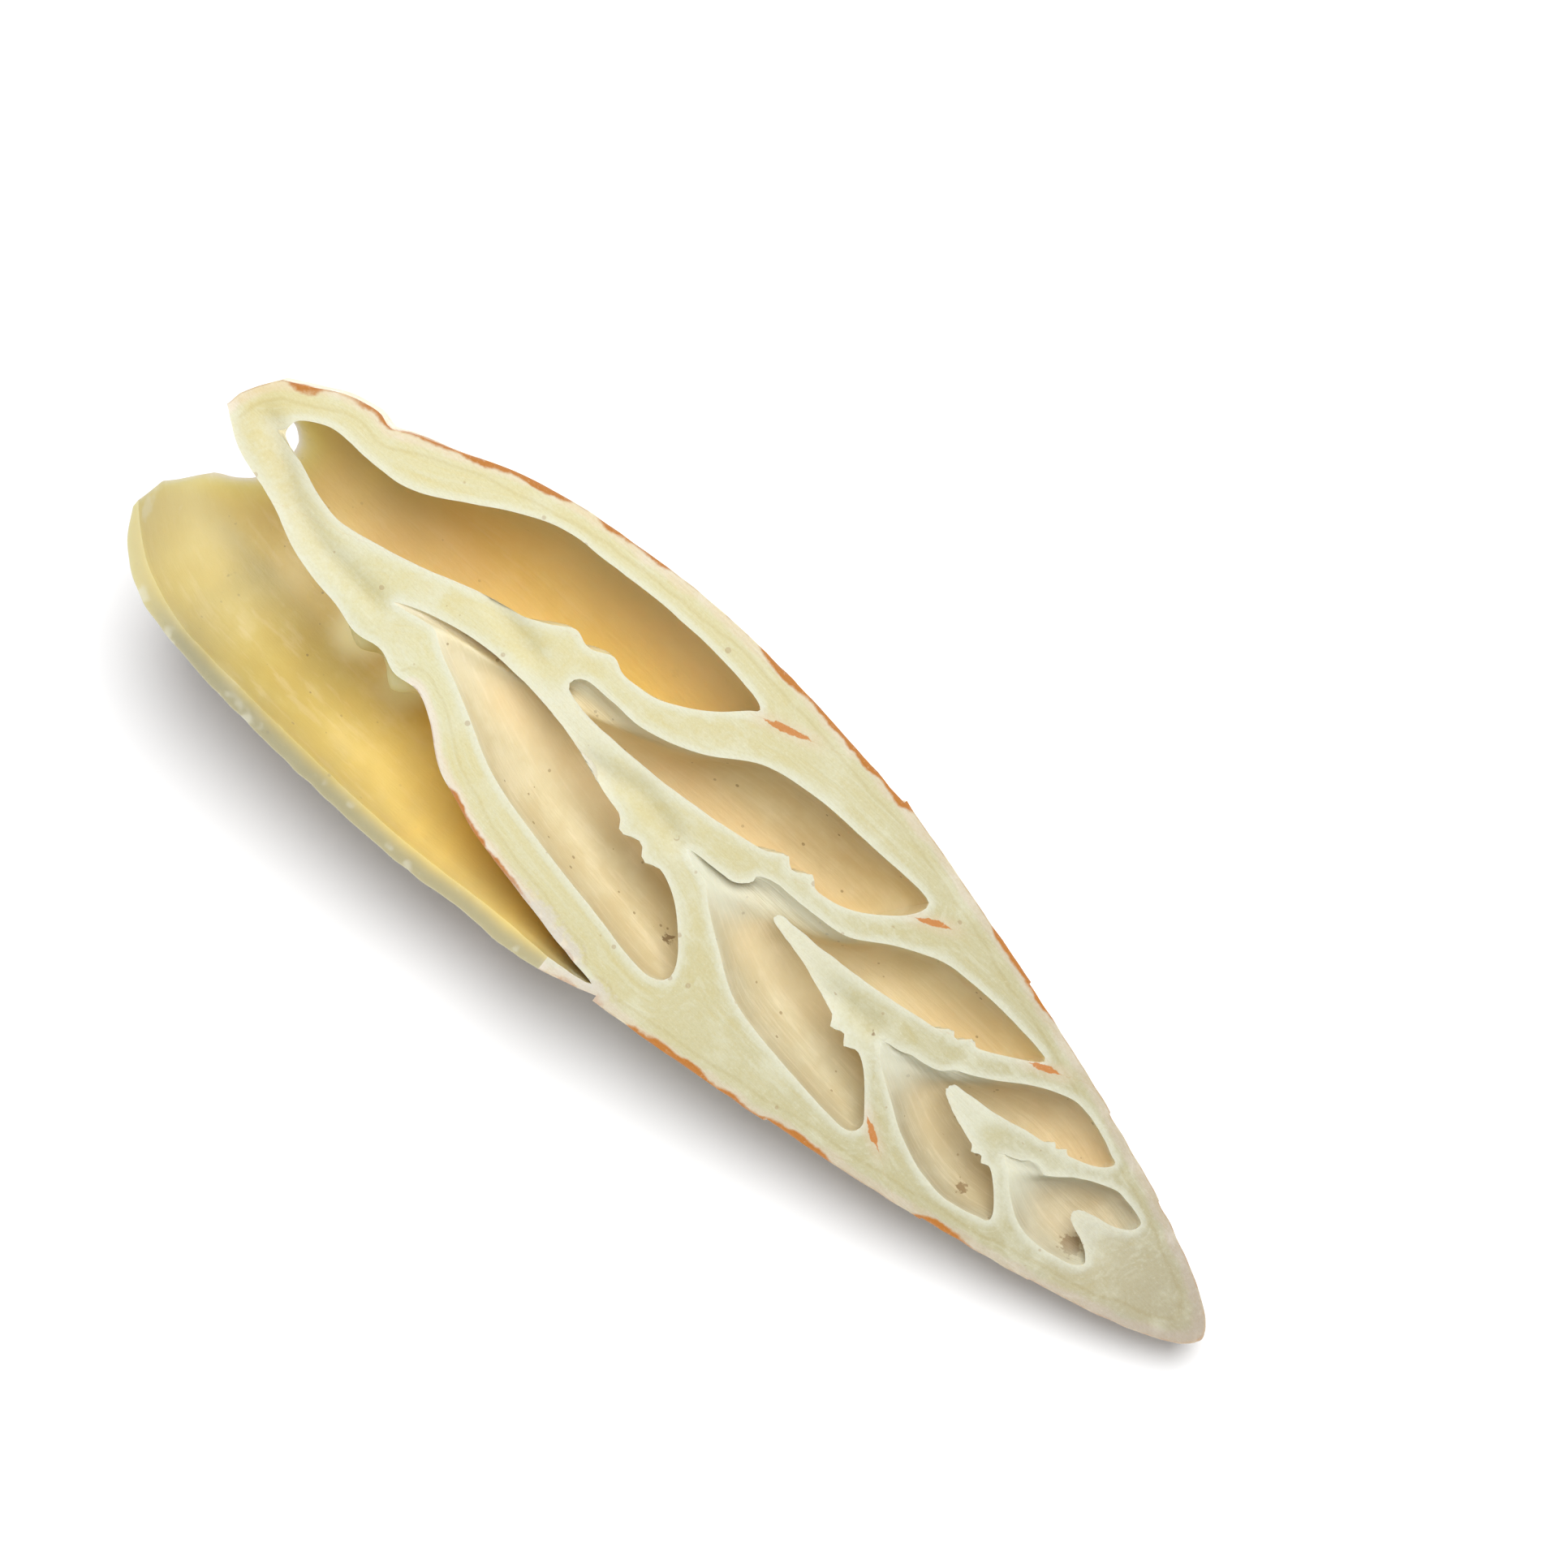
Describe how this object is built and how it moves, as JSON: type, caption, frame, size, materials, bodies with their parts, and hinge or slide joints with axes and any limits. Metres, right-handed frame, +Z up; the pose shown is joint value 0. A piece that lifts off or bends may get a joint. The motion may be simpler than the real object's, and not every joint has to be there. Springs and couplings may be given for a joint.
{
  "type": "split miter shell",
  "caption": "Long spindle-shaped spiral seashell sawn lengthwise, one half, lying on its rounded back with the open chambers and columella facing up.",
  "frame": {"origin": "on the table under the middle of the shell's footprint", "axes": "+X along the shell towards its pointed apex, +Y towards the side of the last whorl's closed chamber, +Z up, out of the open side"},
  "size_m": [0.0984, 0.0304, 0.021],
  "materials": {
    "shell": "satin"
  },
  "bodies": {
    "root": {"split_miter_shell": "shell"}
  },
  "joints": []
}
